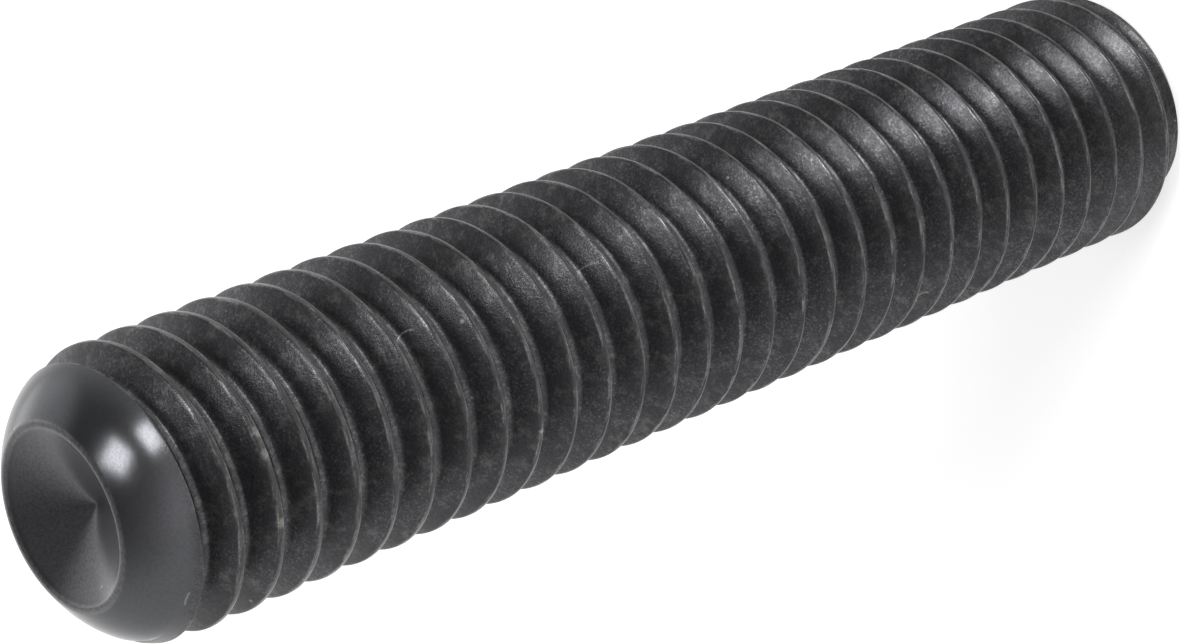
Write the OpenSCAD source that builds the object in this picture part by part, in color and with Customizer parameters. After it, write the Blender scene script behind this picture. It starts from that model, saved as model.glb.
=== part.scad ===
// Socket set screw with a cup point, fully threaded, made from one steel bar.
// It stands on its socket end: +Z runs up the screw's axis to the cup point, and
// the origin is the middle of the socket end's face.

/* [Thread] */
// Major diameter over the thread's crests
thread_d = 7.82; // [6:0.02:10]
// Distance from one crest to the next
pitch = 1.25; // [1.15:0.01:1.75]
// Width of the flat on top of a crest
crest_flat = 0.16; // [0.08:0.01:0.3]
// Radial depth from crest to root
thread_depth = 0.72; // [0.3:0.01:0.72]
// Angle between the two flanks of a groove
flank_angle = 60; // [50:1:60]
// Height of a crest above the socket end, measured at azimuth 0
crest_height = 0.16; // [0:0.01:1.2]
// Depth below the rim where the groove begins
fade_from = 0.75; // [0.3:0.05:1]
// Depth below the rim where the groove has its full depth
fade_to = 1.35; // [1.1:0.05:3]

/* [Body] */
// Overall length from the socket end to the cup's rim
screw_l = 39.75; // [16:0.25:80]
// Diameter of the flat ring that the socket end stands on
socket_end_d = 7; // [5.6:0.1:7.8]
// Slope of the socket end's chamfer, from the axis
chamfer_angle = 45; // [35:1:50]

/* [Cup point] */
// Diameter of the cup's rim, at its highest circle
cup_d = 4.77; // [3:0.01:5.2]
// Radius of the rounding along the rim
rim_r = 0.3; // [0.1:0.02:0.4]
// Included angle of the cup's cone
cup_angle = 130; // [110:1:140]
// Depth below the rim where the crowned shoulder's curve ends
crown_h = 3; // [2:0.1:4]
// How far outside the crests the shoulder's curve ends
crown_over = 0.06; // [0.04:0.01:0.1]
// Angle from the axis at which the rim's rounding passes into the shoulder
crown_lean = 34; // [20:1:45]

/* [Hex socket] */
// Width of the hexagon across its flats
hex_af = 4; // [2.5:0.1:4.6]
// Depth of the hexagon's straight walls
hex_depth = 5; // [2:0.1:8]
// Included angle of the drilled cone under the hexagon
drill_angle = 120; // [100:1:140]
// Included angle of the countersink at the socket's mouth
sink_angle = 120; // [90:1:140]
// Play between the hexagon's corners and the countersink's edge
sink_play = 0.05; // [0:0.01:0.2]

/* [Hidden] */
// Straight steps in one turn of the thread
turn_steps = 36;
// Steps in the rounding of the rim
rim_steps = 6;
// Steps in the crowned shoulder
crown_steps = 8;
// Facets round every turned surface
round_facets = 72;
// Spare turns of the bar, beyond both ends of the screw
spare_turns = 4;
// Cuts run this far past the surface they open
past = 1;

crest_r = thread_d / 2;
root_r = crest_r - thread_depth;
flank_h = thread_depth * tan(flank_angle / 2);
root_flat = pitch - crest_flat - 2 * flank_h;

// Heights in one pitch of the thread's outline, two at the root and two at the crest
ridge_z = [0, root_flat, root_flat + flank_h, root_flat + flank_h + crest_flat];
ridge_n = len(ridge_z);
crest_mid = root_flat + flank_h + crest_flat / 2;

turns = ceil(screw_l / pitch) + spare_turns;
steps = turns * turn_steps;
thread_z = crest_height - crest_mid - spare_turns / 2 * pitch;

rim_r_mid = cup_d / 2;
cup_slope = 90 - cup_angle / 2;
chamfer_slope = 90 - chamfer_angle;

// Where the shoulder starts, and the power that makes it leave the rounding smoothly
crown_r = rim_r_mid + rim_r * sin(crown_lean);
crown_z = rim_r * (1 - cos(crown_lean));
crown_end_r = crest_r + crown_over;
crown_power = (crown_h - crown_z) / tan(crown_lean) / (crown_end_r - crown_r);

hex_corner_r = hex_af / 2 / cos(30);
sink_r = hex_corner_r + sink_play;

function step_z(i) = thread_z + pitch * i / turn_steps;
function share(x) = max(0, min(1, x));

// Share of the groove's full depth at a height on the screw
function groove_share(z) = share((screw_l - z - fade_from) / (fade_to - fade_from));

// Radius of the bar: the crest's on a ridge, the groove's between two ridges
function bar_r(i, j) =
    j < 2 ? crest_r - thread_depth * groove_share(step_z(i) + root_flat / 2) : crest_r;

// A point of the helical surface: step along the helix and place in the ridge
function helix_point(i, j) = [
    bar_r(i, j) * cos(360 * i / turn_steps),
    bar_r(i, j) * sin(360 * i / turn_steps),
    step_z(i) + ridge_z[j],
];

// The number of a point, where a ridge's end is the next turn's beginning
function point_no(i, j) = j < ridge_n ? i * ridge_n + j : (i + turn_steps) * ridge_n;

// Radius of the crowned shoulder at a share of its own height, from the rim down
function shoulder_r(u) = crown_r + (crown_end_r - crown_r) * (1 - pow(1 - u, crown_power));

// Bar with the thread all along it, longer than the screw at both ends
module threaded_bar() {
    rows = steps + turn_steps;
    helix = [for (i = [0 : rows], j = [0 : ridge_n - 1]) helix_point(i, j)];
    foot_no = len(helix);
    head_no = foot_no + 1;
    foot = [0, 0, thread_z];
    head = [0, 0, thread_z + pitch * (turns + 1)];
    skin = [
        for (i = [0 : steps - 1], j = [0 : ridge_n - 1], half = [0, 1])
            half == 0
                ? [point_no(i, j), point_no(i + 1, j + 1), point_no(i + 1, j)]
                : [point_no(i, j), point_no(i, j + 1), point_no(i + 1, j + 1)],
    ];
    foot_fan = [for (i = [0 : turn_steps - 1]) [foot_no, point_no(i, 0), point_no(i + 1, 0)]];
    foot_step = [
        for (j = [0 : ridge_n - 1]) [foot_no, point_no(0, j + 1), point_no(0, j)],
    ];
    head_fan = [
        for (i = [steps : rows - 1]) [head_no, point_no(i + 1, 0), point_no(i, 0)],
    ];
    head_step = [
        for (j = [0 : ridge_n - 1]) [head_no, point_no(steps, j), point_no(steps, j + 1)],
    ];
    polyhedron(concat(helix, [foot, head]), concat(skin, foot_fan, foot_step, head_fan, head_step));
}

// Outline of the blank: the small chamfer, the crowned shoulder, the rounded rim and the cup
module blank() {
    wide = crest_r + past;
    rim_z = screw_l - rim_r;
    rim_arc = [
        for (k = [0 : rim_steps])
            let (t = -cup_slope + (cup_slope + crown_lean) * k / rim_steps)
            [rim_r_mid + rim_r * sin(t), rim_z + rim_r * cos(t)],
    ];
    shoulder = [
        for (k = [1 : crown_steps - 1])
            let (u = pow(k / crown_steps, 2))
            [shoulder_r(u), screw_l - crown_z - (crown_h - crown_z) * u],
    ];
    cup_edge = rim_arc[0];
    cup_z = cup_edge[1] - cup_edge[0] * tan(cup_slope);
    socket_z = (wide - socket_end_d / 2) * tan(chamfer_slope);
    rotate_extrude($fn = round_facets)
        polygon(concat(
            [[0, 0], [socket_end_d / 2, 0], [wide, socket_z], [wide, screw_l - crown_h]],
            [[crown_end_r, screw_l - crown_h]],
            [for (k = [crown_steps - 2 : -1 : 0]) shoulder[k]],
            [for (k = [rim_steps : -1 : 0]) rim_arc[k]],
            [[0, cup_z]]
        ));
}

// Hexagon socket with its drilled cone and the countersink at its mouth
module hex_socket() {
    drill_h = hex_af / 2 / tan(drill_angle / 2);
    sink_h = sink_r / tan(sink_angle / 2);
    translate([0, 0, -past])
        cylinder(r = hex_corner_r, h = hex_depth + past, $fn = 6);
    translate([0, 0, hex_depth])
        cylinder(r1 = hex_af / 2, r2 = 0, h = drill_h, $fn = round_facets);
    cylinder(r1 = sink_r, r2 = 0, h = sink_h, $fn = round_facets);
}

module set_screw() {
    color("dimgray")
        difference() {
            intersection() {
                threaded_bar();
                blank();
            }
            hex_socket();
        }
}

set_screw();
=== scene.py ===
import math
import bpy
import numpy as np
from mathutils import Matrix


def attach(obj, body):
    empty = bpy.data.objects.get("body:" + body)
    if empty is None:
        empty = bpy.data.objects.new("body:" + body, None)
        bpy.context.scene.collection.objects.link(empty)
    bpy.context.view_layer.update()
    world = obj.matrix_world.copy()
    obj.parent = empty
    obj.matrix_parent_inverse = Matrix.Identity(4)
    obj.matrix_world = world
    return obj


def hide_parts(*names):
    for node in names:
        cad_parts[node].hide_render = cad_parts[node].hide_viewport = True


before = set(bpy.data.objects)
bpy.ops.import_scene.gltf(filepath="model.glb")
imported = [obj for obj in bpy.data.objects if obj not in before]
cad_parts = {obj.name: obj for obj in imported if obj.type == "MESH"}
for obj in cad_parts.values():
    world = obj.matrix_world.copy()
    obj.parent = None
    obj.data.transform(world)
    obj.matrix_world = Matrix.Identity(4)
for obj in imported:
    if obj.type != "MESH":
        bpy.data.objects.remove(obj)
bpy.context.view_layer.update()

# metres in a millimetre: everything below is in millimetres, apart from the floor, lamps and camera
MM = 0.001

SCREW_L = 39.75

# the thread, where a crest's flat is this wide to each side of its middle, narrow at the far end and
# blunter from one height on, and where the groove begins and is full this deep below the rim
CREST_R = 3.91
THREAD_DEPTH = 0.72
PITCH = 1.25
CREST_HALF_FAR = 0.055
CREST_HALF_NEAR = 0.09
BLUNT_FROM = 22.0
BLUNT_OVER = 14.0
CREST_HEIGHT = 0.16
FLANK_TAN = math.tan(math.radians(30))
GROOVE_FROM = 0.75
GROOVE_FULL = 1.35

# the socket end's flat ring and chamfer
SOCKET_END_R = 3.5
CHAMFER_SLOPE = 1.0

# the rim, with a tighter rounding on its inner side, the cup and the crowned shoulder
RIM_MID_R = 2.385
RIM_ROUND = 0.3
RIM_INNER = 0.14
CUP_SLOPE = math.radians(25)
CROWN_H = 3.0
CROWN_OVER = 0.06
CROWN_LEAN = math.radians(34)

# the hexagon socket, its drilled cone and its countersink
HEX_AF = 4.0
HEX_DEPTH = 5.0
HEX_HALF_ANGLE = math.radians(30)
DRILL_SLOPE = math.tan(math.radians(30))
SINK_TAN = math.tan(math.radians(60))
SINK_PLAY = 0.05

# softness of the edges that rolling and tumbling leave
EDGE_SOFT = 0.026
ROOT_SOFT = 0.045
BLANK_SOFT = 0.6 * EDGE_SOFT

# the mesh: columns round the screw, places of the rows over half of a plain turn, and rows in a
# turn near the point, where the crowned shoulder cuts the thread
COLUMNS = 108
PLAIN_HALF = (0.0, 0.03, 0.05, 0.067, 0.085, 0.105, 0.14, 0.26, 0.42, 0.49, 0.55)
FINE_ROWS = 60
FINE_FROM = 36.25
SPARE_TURNS = 4
RIM_ROWS = 16
CUP_ROWS = 18
SOCKET_ROWS = 9
WELD_DIGITS = 4
SHARP_FROM = math.radians(38)

# black oxide on the rolled thread, in its pits, on the turned point and in the cup, a faint tint on
# the point lightened into a painted sheen below the lamp's highlight, worn steel on the crests, worn
# steel and a painted highlight line on the rim, and two kinds of dust
OXIDE_DARK = (0.062, 0.061, 0.0655)
OXIDE_LIGHT = (0.075, 0.074, 0.080)
OXIDE_GREY = (0.2, 0.2, 0.206)
OXIDE_CREST = (0.056, 0.055, 0.057)
OXIDE_PIT = (0.015, 0.015, 0.016)
TURNED = (0.107, 0.109, 0.116)
CUP_SKIN = (0.135, 0.135, 0.146)
# a faint purple tint, lightened into a painted sheen: the tail of the upper lamp's highlight
POINT_TINT_AND_SHEEN = (0.155, 0.148, 0.163)
# worn steel, made lighter still as a painted highlight line along the rim's rounding
RIM_WORN_AND_HIGHLIGHT = (0.22, 0.22, 0.227)
BURNISHED = (0.3, 0.3, 0.3)
DUSTY = (0.17, 0.17, 0.172)
DUST = (0.4, 0.4, 0.37)

# where each finish lies, as the two values of height or radius between which it comes in
FAR_END = (30.0, 3.0)
POINT = (38.2, 38.7)
THREAD = (38.7, 38.2)
CUP_R = (2.3, 2.1)
RIM = (39.69, 39.735)
CREST_BAND = (3.85, 3.9)
CREST_STOPS = (38.4, 37.8)
SOCKET_CORNER = (0.45, 0.3)
PALE_END = (5.0, 1.0, 0.0, 0.3)
SPECKLE_ALONG = (38.4, 12.0, 0.8, 1.0)
EDGE_TOP = (3.91, 3.89, 0.3, 1.0)

# random fields: scale per millimetre, detail and roughness; the streaks run round the screw because
# their field is squeezed along it
PATCHES = (0.55, 3.0, 0.55)
STREAKS = (1.1, 3.0, 0.6)
STREAK_SQUEEZE = (1.0, 1.0, 9.0)
FINE = (9.0, 4.0, 0.65)
GRAIN = (15.0, 2.0, 0.7)
CLOUD = (2.4, 6.0, 0.75)
SPECK_SCALE = 0.75

# how strongly a field shows: from and to in the field, then what is left there
PATCHES_SHOW = (0.38, 0.64)
STREAKS_SHOW = (0.44, 0.64, 0.0, 0.9)
CORNER_SHOWS = (0.4, 0.62)
CLOUD_SHOWS = (0.47, 0.7, 0.0, 0.75)
SPECKLE_SHOWS = (0.54, 0.74)
SPECKLE_IN_PATCHES = (0.42, 0.6, 0.15, 1.0)
SPECKS_SHOW = (0.05, 0.02, 0.0, 0.6)
PITS_SHOW = (0.38, 0.6, 0.3, 0.0)
PITS_ON_POINT = 0.5
RIM_BROKEN = (0.3, 0.6, 0.4, 1.0)
FLECK_BROKEN = (0.35, 0.6, 0.3, 1.0)

# the middle of the faint tint and painted sheen, its reach and core, and how strongly it shows
TINT_AND_SHEEN_PLACE = (-0.5, -3.2, 39.1)
TINT_AND_SHEEN_SHOWS = (1.3, 0.2, 0.0, 0.8)

# roughness near and at the far end, and what each place adds to it
ROUGH_NEAR = 0.34
ROUGH_FAR = 0.25
ROUGH_POINT = -0.14
ROUGH_FINE = (0.25, 0.75, -0.03, 0.05)
ROUGH_CREST = -0.1
ROUGH_CUP = 0.08
ROUGH_RIM = 0.14

# the share of metal on the thread, and the bump's strength, its depth in metres, how much the finer
# field adds to it and how much of it the point keeps
METAL_THREAD = 0.86
BUMP_STRENGTH = 0.5
BUMP_DEPTH = 0.000012
BUMP_FINE = 0.5
BUMP_ON_POINT = 0.02

# fibres and one scratch, each the part of a thin ring round one spot that lies within reach of another:
# the ring's spot and radius, the other spot, its reach, and how bright it shows
FIBRES = (
    ((1.6, -3.4, 30.3), 0.7, (1.05, -3.45, 30.7), 0.45, 0.35),
    ((0.75, -3.2, 30.2), 0.45, (1.15, -3.2, 30.35), 0.3, 0.35),
    ((0.2, -3.0, 23.4), 1.1, (0.95, -3.35, 24.1), 0.35, 0.3),
    ((2.5, -2.9, 12.3), 0.6, (2.15, -2.9, 11.9), 0.45, 0.7),
    ((-3.5, -1.5, 10.9), 0.45, (-3.2, -1.45, 11.2), 0.35, 0.5),
    ((-3.0, -2.1, 37.6), 1.0, (-2.95, -2.15, 38.6), 0.25, 0.35),
)
FIBRE_EDGE = (0.03, 0.012)
FIBRE_FADES = 0.8

# light flecks of dust and nicks: the place, the reach, and how bright it shows
FLECKS = (
    ((0.9, -3.65, 28.8), 0.09, 0.6),
    ((2.9, -2.7, 30.0), 0.08, 0.6),
    ((3.0, -1.7, 21.7), 0.09, 0.8),
    ((-2.5, -3.0, 27.2), 0.11, 0.7),
    ((0.8, -3.5, 25.2), 0.07, 0.5),
    ((0.2, -3.9, 36.1), 0.24, 0.4),
    ((-0.4, -3.9, 36.1), 0.2, 0.35),
    ((-2.1, -3.3, 36.0), 0.2, 0.4),
    ((-1.6, -3.4, 38.3), 0.08, 0.3),
)
FLECK_CORE = 0.2

# metres from here on; the glow is what the camera and the metal see of the floor besides its light
FLOOR_HALF = 3.0
FLOOR_COLOUR = (0.8, 0.8, 0.8, 1.0)
FLOOR_GLOW = 0.55

# the room's brightness: pale, darker overhead, and brightest in two soft windows low on one side, each
# given by its direction, the shares of the view at its outer and inner edge, and what it adds
ROOM_PALE = 1.15
ROOM_DARK = 0.25
ROOM_DARK_SIDE = (0.3, 0.0, 0.95)
ROOM_FALL = (0.2, 0.95)
SIDE_WINDOW = ((0.64, 0.62, 0.46), (0.88, 0.985), 0.7)
LOW_WINDOW = ((0.4, 0.91, -0.02), (0.93, 0.995), 1.3)

# two soft lamps, each in its own direction from the place that both face
LAMPS_AIM = (0.0, 0.0, 0.03)
LAMPS_AWAY = 0.4
UPPER_LAMP = (0.36, -0.31, 0.88)
UPPER_SIZE = 0.12
UPPER_POWER = 0.35
LOWER_LAMP = (0.484, -0.729, 0.484)
LOWER_SIZE = 0.13
LOWER_POWER = 0.42

# the camera, with its lens and film in millimetres
CAMERA_PLACE = (0.0, -0.078437, 0.086020)
CAMERA_RIGHT = (-0.36837, -0.58937, -0.71899)
CAMERA_UP = (0.92967, -0.23071, -0.28720)
CAMERA_LENS = 112.092
CAMERA_FILM = 36.0
CAMERA_NEAR = 0.001


def soft_min(a, b, soft):
    """The lower of two values, with the corner between them rounded: the negative logarithm of the
    sum of both exponentials, scaled by the softness."""
    low = np.minimum(a, b)
    return low - soft * np.log(np.exp((low - a) / soft) + np.exp((low - b) / soft))


def soft_max(a, b, soft):
    """The higher of two values, rounded in the same way."""
    return -soft_min(-a, -b, soft)


def smooth_share(x):
    """Runs from 0 to 1 as three times the square less twice the cube of x, held between 0 and 1."""
    x = np.clip(x, 0.0, 1.0)
    return x * x * (3.0 - 2.0 * x)


def crown_start():
    """Radius and depth below the rim where the rounding's normal leans by CROWN_LEAN."""
    return RIM_MID_R + RIM_ROUND * math.sin(CROWN_LEAN), RIM_ROUND * (1.0 - math.cos(CROWN_LEAN))


def turned_radius(z):
    """Radius of the unthreaded blank at height z: the socket end's cone, radius plus height, and the
    crowned shoulder, its span times one less (1 - u) to a power, u the share of its height."""
    r0, d0 = crown_start()
    span = CREST_R + CROWN_OVER - r0
    power = (CROWN_H - d0) / math.tan(CROWN_LEAN) / span
    u = np.clip((SCREW_L - d0 - z) / (CROWN_H - d0), 0.0, 1.0)
    return np.minimum(SOCKET_END_R + CHAMFER_SLOPE * z, r0 + span * (1.0 - (1.0 - u) ** power))


def thread_radius(offset, z):
    """Radius of the thread at a distance along the axis from the crest's middle: flat on the crest,
    then falling along the flank, then level at the root. The crest grows blunter towards the point,
    and the groove's depth grows smoothly from nothing below the rim."""
    away = np.abs(offset)
    level = np.full_like(away, CREST_R)
    blunt = smooth_share((z - BLUNT_FROM) / BLUNT_OVER)
    half = CREST_HALF_FAR + (CREST_HALF_NEAR - CREST_HALF_FAR) * blunt
    shape = soft_min(level, CREST_R - (away - half) / FLANK_TAN, EDGE_SOFT)
    shape = soft_max(shape, level - THREAD_DEPTH, ROOT_SOFT)
    share = smooth_share((SCREW_L - z - GROOVE_FROM) / (GROOVE_FULL - GROOVE_FROM))
    return CREST_R - share * (CREST_R - shape)


def wall_radius(azimuth, z):
    """Radius of the screw's outside: the lower of the thread's and the blank's, where the crest climbs
    one pitch in a turn."""
    climb = z - CREST_HEIGHT - PITCH * azimuth / (2.0 * math.pi)
    offset = (climb + PITCH / 2.0) % PITCH - PITCH / 2.0
    return soft_min(thread_radius(offset, z), turned_radius(z), BLANK_SOFT)


def around():
    """The azimuths of the columns."""
    return 2.0 * math.pi * np.arange(COLUMNS) / COLUMNS


def ring_cells(rows, seam_shift):
    """Two triangles for each cell of a grid. The last column joins the first one, seam_shift rows
    further up, and never past the last row."""
    row, col = np.meshgrid(np.arange(rows - 1), np.arange(COLUMNS), indexing="ij")
    wraps = col + 1 == COLUMNS
    beside = (col + 1) % COLUMNS
    low = np.minimum(row + wraps * seam_shift, rows - 1)
    high = np.minimum(row + 1 + wraps * seam_shift, rows - 1)
    a = row * COLUMNS + col
    b = low * COLUMNS + beside
    c = high * COLUMNS + beside
    d = a + COLUMNS
    lower, upper = np.stack([a, b, c], -1), np.stack([a, c, d], -1)
    return np.concatenate([lower.reshape(-1, 3), upper.reshape(-1, 3)])


def points_of(azimuth, r, z):
    """x, y and z from radius, azimuth and height."""
    return np.stack([r * np.cos(azimuth), r * np.sin(azimuth), z + 0.0 * r], -1).reshape(-1, 3)


def thread_band(offsets, low, high):
    """The wall between two heights, on rows that climb with the thread. A row's height is its place in
    the turn plus one pitch times the turn plus the climb, held between the two heights. The first
    turn begins a full pitch too low, and spare turns follow the last one."""
    azimuth = around()
    turns = int((high - low) / PITCH) + SPARE_TURNS
    start = CREST_HEIGHT + PITCH * (math.floor((low - CREST_HEIGHT) / PITCH) - 1)
    rows = (start + PITCH * np.arange(turns)[:, None] + offsets[None]).ravel()
    z = np.clip(rows[:, None] + PITCH * azimuth[None] / (2.0 * math.pi), low, high)
    points = points_of(azimuth, wall_radius(azimuth, z), z)
    return points, ring_cells(len(rows), len(offsets))


def turned_band(r, z):
    """A grid of level rows, each given by its radius and height over the columns."""
    return points_of(around(), r, z), ring_cells(len(r), 0)


def plain_rows():
    """Places of a plain turn's rows, from one root to the next, closest at the crest's edges."""
    half = np.array(PLAIN_HALF)
    return np.concatenate([-half[:0:-1], half, [PITCH / 2.0]])


def fine_rows():
    """Places of a fine turn's rows, evenly spaced from one root to the next."""
    return PITCH * np.arange(FINE_ROWS) / FINE_ROWS - PITCH / 2.0


def cup_and_rim():
    """The rim's rounding, an arc of radius RIM_ROUND from the shoulder to the rim's top and one of
    radius RIM_INNER from there to the cup, and then the cup's cone, which falls by the tangent of its
    slope, down to one point."""
    lean = np.linspace(CROWN_LEAN, -CUP_SLOPE, RIM_ROWS)
    rounding = np.where(lean > 0.0, RIM_ROUND, RIM_INNER)
    r = RIM_MID_R + rounding * np.sin(lean)
    z = SCREW_L - rounding * (1.0 - np.cos(lean))
    cone_r = r[-1] * np.linspace(1.0, 0.0, CUP_ROWS)[1:]
    cone_z = z[-1] - (r[-1] - cone_r) * math.tan(CUP_SLOPE)
    r, z = np.concatenate([r, cone_r]), np.concatenate([z, cone_z])
    across = np.ones(COLUMNS)[None]
    return turned_band(r[:, None] * across, z[:, None] * across)


def socket_end():
    """From the drilled cone's point outwards: the cone, the hexagon's floor and walls, the countersink
    and the flat ring. The hexagon's radius is half its width over the cosine of the angle from the
    nearest flat's middle."""
    azimuth = around()
    half = HEX_AF / 2.0
    across = np.ones(COLUMNS)
    level = np.zeros(COLUMNS)
    sink = half / math.cos(HEX_HALF_ANGLE) + SINK_PLAY
    hexagon = half / np.cos(azimuth % (2.0 * HEX_HALF_ANGLE) - HEX_HALF_ANGLE)
    mouth = (sink - hexagon) / SINK_TAN
    edge = wall_radius(azimuth, level)
    share = np.linspace(0.0, 1.0, SOCKET_ROWS)[:, None]
    cone_r = half * share * across
    cone_z = HEX_DEPTH + (half - cone_r) * DRILL_SLOPE
    wall_r = hexagon * np.ones_like(share)
    wall_z = HEX_DEPTH + (mouth - HEX_DEPTH) * share
    sink_r, sink_z = [(sink + hexagon) / 2.0, sink * across], [mouth / 2.0, level]
    ring_r, ring_z = [(sink + edge) / 2.0, edge], [level, level]
    r = np.concatenate([cone_r, wall_r, sink_r, ring_r])
    z = np.concatenate([cone_z, wall_z, sink_z, ring_z])
    return turned_band(r, z)


def weld(bands):
    """All bands as one closed skin: points at the same place, to a ten-thousandth of a millimetre, are
    made one, and triangles that lost a corner by it are dropped. Adding nought turns minus nought
    into nought."""
    points, faces, count = [], [], 0
    for band_points, band_faces in bands:
        points.append(band_points)
        faces.append(band_faces + count)
        count += len(band_points)
    points, faces = np.concatenate(points), np.concatenate(faces)
    places = np.round(points, WELD_DIGITS) + 0.0
    _, first, where = np.unique(places, axis=0, return_index=True, return_inverse=True)
    a, b, c = where.reshape(-1)[faces].T
    whole = (a != b) & (b != c) & (c != a)
    return points[first], np.stack([a, b, c], -1)[whole]


def make_screw():
    """The screw as one piece: socket end, thread, shoulder, rim and cup."""
    wall_top = SCREW_L - crown_start()[1]
    points, faces = weld([
        socket_end(),
        thread_band(plain_rows(), 0.0, FINE_FROM),
        thread_band(fine_rows(), FINE_FROM, wall_top),
        cup_and_rim(),
    ])
    mesh = bpy.data.meshes.new("screw_skin")
    mesh.from_pydata(points * MM, [], faces)
    mesh.polygons.foreach_set("use_smooth", np.ones(len(faces), dtype=bool))
    mesh.update()
    mesh.set_sharp_from_angle(angle=SHARP_FROM)
    screw = bpy.data.objects.new("set_screw_skin", mesh)
    bpy.context.scene.collection.objects.link(screw)
    return screw


class Finish:
    """One material's or one room's nodes, made one by one."""

    def __init__(self, of_what):
        named = isinstance(of_what, str)
        self.material = bpy.data.materials.new(of_what) if named else of_what
        self.material.use_nodes = True
        self.tree = self.material.node_tree
        self.tree.nodes.clear()

    def put(self, socket, value):
        """Links a socket to an input, or sets the input to a value."""
        if isinstance(value, bpy.types.NodeSocket):
            self.tree.links.new(value, socket)
        else:
            socket.default_value = value

    def add(self, kind, sockets=None, **settings):
        """A node, with its settings by name and its sockets by name or number."""
        node = self.tree.nodes.new(kind)
        for name, value in settings.items():
            setattr(node, name, value)
        for key, value in (sockets or {}).items():
            self.put(node.inputs[key], value)
        return node

    def worked_out(self, operation, a, b=0.0):
        """A Math node's result."""
        return self.add("ShaderNodeMath", {0: a, 1: b}, operation=operation).outputs[0]

    def product(self, *parts):
        """All parts multiplied."""
        whole = parts[0]
        for part in parts[1:]:
            whole = self.worked_out("MULTIPLY", whole, part)
        return whole

    def total(self, *parts):
        """All parts added up."""
        whole = parts[0]
        for part in parts[1:]:
            whole = self.worked_out("ADD", whole, part)
        return whole

    def higher(self, a, b):
        """The higher of two values."""
        return self.worked_out("MAXIMUM", a, b)

    def share(self, value, low, high, out_low=0.0, out_high=1.0):
        """Runs smoothly from one value to another while the input goes from low to high."""
        node = self.add("ShaderNodeMapRange", {
            "Value": value, "From Min": low, "From Max": high,
            "To Min": out_low, "To Max": out_high}, interpolation_type="SMOOTHSTEP")
        return node.outputs["Result"]

    def between(self, share, one, other):
        """Passes smoothly from one value to another as a share goes from 0 to 1."""
        return self.share(share, 0.0, 1.0, one, other)

    def noise(self, place, scale, detail, rough):
        """A soft random field."""
        node = self.add("ShaderNodeTexNoise", {
            "Vector": place, "Scale": scale, "Detail": detail, "Roughness": rough})
        return node.outputs["Fac"]

    def vector(self, operation, sockets, output=0):
        """A Vector Math node's result."""
        return self.add("ShaderNodeVectorMath", sockets, operation=operation).outputs[output]

    def distance(self, place, spot):
        """How far a place is from one spot, in millimetres."""
        return self.vector("DISTANCE", {0: place, 1: spot}, "Value")

    def fibre(self, place, ring, radius, middle, reach, shows):
        """Shows on a thin ring round one spot, within reach of another."""
        off = self.worked_out("SUBTRACT", self.distance(place, ring), radius)
        on_ring = self.share(self.worked_out("ABSOLUTE", off), *FIBRE_EDGE)
        near = self.share(self.distance(place, middle), reach, FIBRE_FADES * reach, 0.0, shows)
        return self.product(on_ring, near)

    def fleck(self, place, spot, reach, shows, broken):
        """Shows round one spot, and is broken up."""
        near = self.share(self.distance(place, spot), reach, FLECK_CORE * reach, 0.0, shows)
        return self.product(near, broken)

    def blend(self, share, one, other):
        """One colour passing into another."""
        node = self.add("ShaderNodeMix", data_type="RGBA")
        for key, value in ((0, share), (6, one), (7, other)):
            self.put(node.inputs[key], (*value, 1.0) if isinstance(value, tuple) else value)
        return node.outputs[2]


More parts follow.
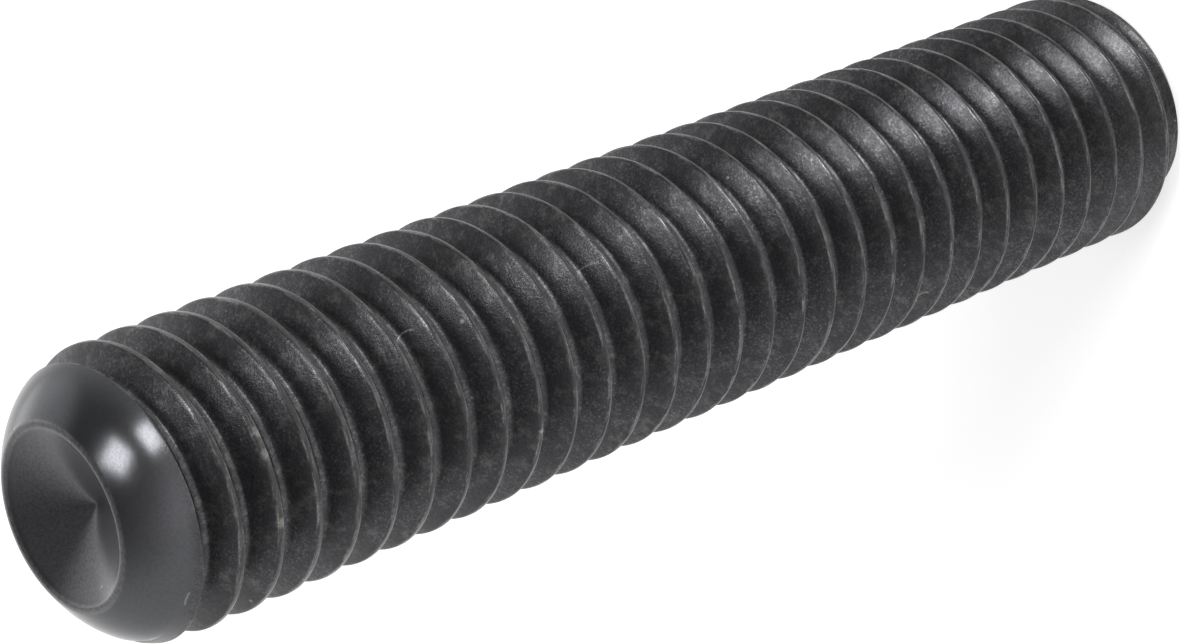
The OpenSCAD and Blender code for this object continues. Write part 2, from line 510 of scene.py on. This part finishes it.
def black_steel():
    """Black oxide on steel: a near-black satin skin, grainy on the thread, smoother and a little paler
    on the turned point, rubbed bright in streaks along the crests, worn and with a painted highlight
    line round the rim, and with a faintly tinted patch lightened into a painted sheen on the point."""
    f = Finish("black_steel")
    in_metres = f.add("ShaderNodeTexCoord").outputs["Object"]
    place = f.vector("SCALE", {0: in_metres, "Scale": 1.0 / MM})
    x, y, z = f.add("ShaderNodeSeparateXYZ", {0: place}).outputs
    radius = f.worked_out("SQRT", f.total(f.product(x, x), f.product(y, y)))

    patches = f.noise(place, *PATCHES)
    streaks = f.noise(f.vector("MULTIPLY", {0: place, 1: STREAK_SQUEEZE}), *STREAKS)
    fine = f.noise(place, *FINE)
    grain = f.noise(place, *GRAIN)
    specks = f.add("ShaderNodeTexVoronoi", {"Vector": place, "Scale": SPECK_SCALE})

    # where each part of the screw lies
    far = f.share(z, *FAR_END)
    point = f.share(z, *POINT)
    thread = f.share(z, *THREAD)
    cup = f.product(point, f.share(radius, *CUP_R))
    rim = f.product(f.share(z, *RIM), f.share(fine, *RIM_BROKEN))
    crest = f.product(f.share(radius, *CREST_BAND), f.share(z, *CREST_STOPS))

    # what wear and dust have left
    worn = f.product(crest, f.share(radius, *EDGE_TOP), f.share(streaks, *STREAKS_SHOW))
    worn = f.product(worn, f.share(fine, *RIM_BROKEN))
    corner = f.product(f.share(z, *SOCKET_CORNER), f.share(streaks, *CORNER_SHOWS))
    cloud = f.product(f.share(f.noise(place, *CLOUD), *CLOUD_SHOWS), thread)
    speckle = f.product(
        f.share(grain, *SPECKLE_SHOWS), f.share(patches, *SPECKLE_IN_PATCHES),
        f.share(z, *SPECKLE_ALONG), thread)
    pitted = f.higher(f.between(thread, PITS_ON_POINT, 1.0), cup)
    pits = f.product(f.share(grain, *PITS_SHOW), pitted)
    dust = f.share(specks.outputs["Distance"], *SPECKS_SHOW)
    for ring, ring_radius, middle, reach, shows in FIBRES:
        dust = f.higher(dust, f.fibre(place, ring, ring_radius, middle, reach, shows))
    broken = f.share(fine, *FLECK_BROKEN)
    for spot, reach, shows in FLECKS:
        dust = f.higher(dust, f.fleck(place, spot, reach, shows, broken))

    colour = f.blend(f.share(patches, *PATCHES_SHOW), OXIDE_DARK, OXIDE_LIGHT)
    colour = f.blend(cloud, colour, DUSTY)
    colour = f.blend(speckle, colour, OXIDE_GREY)
    colour = f.blend(f.share(z, *PALE_END), colour, OXIDE_GREY)
    colour = f.blend(crest, colour, OXIDE_CREST)
    colour = f.blend(point, colour, TURNED)
    # a faint purple tint on the point, lightened into a painted sheen that stands for the tail of the
    # upper lamp's highlight
    colour = f.blend(f.share(f.distance(place, TINT_AND_SHEEN_PLACE), *TINT_AND_SHEEN_SHOWS), colour, POINT_TINT_AND_SHEEN)
    colour = f.blend(cup, colour, CUP_SKIN)
    # the rim: worn steel, and a painted highlight line where its rounding mirrors the dark room
    # overhead
    colour = f.blend(rim, colour, RIM_WORN_AND_HIGHLIGHT)
    colour = f.blend(worn, colour, BURNISHED)
    colour = f.blend(corner, colour, OXIDE_GREY)
    colour = f.blend(pits, colour, OXIDE_PIT)
    colour = f.blend(dust, colour, DUST)

    rough = f.total(
        f.between(far, ROUGH_NEAR, ROUGH_FAR), f.between(point, 0.0, ROUGH_POINT),
        f.product(thread, f.share(fine, *ROUGH_FINE)),
        f.product(crest, ROUGH_CREST), f.product(cup, ROUGH_CUP), f.product(rim, ROUGH_RIM))
    metal = f.product(f.between(point, METAL_THREAD, 1.0), f.between(dust, 1.0, 0.0))
    height = f.total(grain, f.product(fine, BUMP_FINE))
    height = f.product(height, f.between(thread, BUMP_ON_POINT, 1.0))
    bump = f.add("ShaderNodeBump", {
        "Strength": BUMP_STRENGTH, "Distance": BUMP_DEPTH, "Height": height})
    skin = f.add("ShaderNodeBsdfPrincipled", {
        "Base Color": colour, "Metallic": metal, "Roughness": rough, "Normal": bump.outputs[0]})
    f.add("ShaderNodeOutputMaterial", {0: skin.outputs[0]})
    return f.material


def plain_floor():
    """A level pale floor, near white to the camera and in the metal, that keeps the screw's shadow."""
    mesh = bpy.data.meshes.new("floor")
    h = FLOOR_HALF
    mesh.from_pydata([(-h, -h, 0), (h, -h, 0), (h, h, 0), (-h, h, 0)], [], [(0, 1, 2, 3)])
    floor = bpy.data.objects.new("floor", mesh)
    bpy.context.scene.collection.objects.link(floor)
    f = Finish("pale_floor")
    ray = f.add("ShaderNodeLightPath").outputs
    seen = f.higher(ray["Is Camera Ray"], ray["Is Glossy Ray"])
    seen = f.higher(seen, ray["Is Transmission Ray"])
    matt = f.add("ShaderNodeBsdfDiffuse", {"Color": FLOOR_COLOUR})
    glow = f.add("ShaderNodeEmission", {"Strength": f.product(seen, FLOOR_GLOW)})
    both = f.add("ShaderNodeAddShader", {0: matt.outputs[0], 1: glow.outputs[0]})
    f.add("ShaderNodeOutputMaterial", {0: both.outputs[0]})
    mesh.materials.append(f.material)


def unit(direction):
    """A direction at length one."""
    return np.array(direction) / np.linalg.norm(direction)


def towards(f, direction, edge, low, high):
    """Runs from low to high as the view turns towards a direction: the share of the view that points
    there, between the two values of edge."""
    view = f.add("ShaderNodeTexCoord").outputs["Generated"]
    share = f.vector("DOT_PRODUCT", {0: view, 1: tuple(unit(direction).tolist())}, "Value")
    return f.share(share, *edge, low, high)


def studio_room():
    """The room round the screw: pale, darker overhead, with two soft windows low on one side."""
    world = bpy.data.worlds.new("room")
    bpy.context.scene.world = world
    f = Finish(world)
    room = towards(f, ROOM_DARK_SIDE, ROOM_FALL, ROOM_PALE, ROOM_DARK)
    for direction, edge, strength in (SIDE_WINDOW, LOW_WINDOW):
        room = f.total(room, towards(f, direction, edge, 0.0, strength))
    back = f.add("ShaderNodeBackground", {"Strength": room})
    f.add("ShaderNodeOutputWorld", {0: back.outputs[0]})


def stand(name, data, right, up, place):
    """Puts a lamp or the camera at a place. Its third axis, which points away from what it faces, is
    the cross product of right and up."""
    holder = bpy.data.objects.new(name, data)
    turn = np.eye(4)
    turn[:3] = np.stack([right, up, np.cross(right, up), place], -1)
    holder.matrix_world = Matrix(turn.tolist())
    bpy.context.scene.collection.objects.link(holder)
    return holder


def lamp(name, direction, size, power):
    """A soft square lamp in a direction from the screw's upper part, facing it."""
    light = bpy.data.lights.new(name, "AREA")
    light.size = size
    light.energy = power
    away = unit(direction)
    right = unit(np.cross((0.0, 0.0, 1.0), away))
    stand(name, light, right, np.cross(away, right), np.array(LAMPS_AIM) + LAMPS_AWAY * away)


def camera():
    """The camera that was fitted to the thread, the outline and the rim. Its up axis is squared to its
    right one."""
    eye = bpy.data.cameras.new("camera")
    eye.lens = CAMERA_LENS
    eye.sensor_width = CAMERA_FILM
    eye.clip_start = CAMERA_NEAR
    right, up = unit(CAMERA_RIGHT), np.array(CAMERA_UP)
    up = unit(up - right * (up @ right))
    bpy.context.scene.camera = stand("camera", eye, right, up, CAMERA_PLACE)


screw = make_screw()
screw.data.materials.append(black_steel())
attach(screw, "root")
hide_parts("set_screw")

plain_floor()
studio_room()
lamp("upper_lamp", UPPER_LAMP, UPPER_SIZE, UPPER_POWER)
lamp("lower_lamp", LOWER_LAMP, LOWER_SIZE, LOWER_POWER)
camera()
bpy.context.scene.view_settings.view_transform = "Standard"
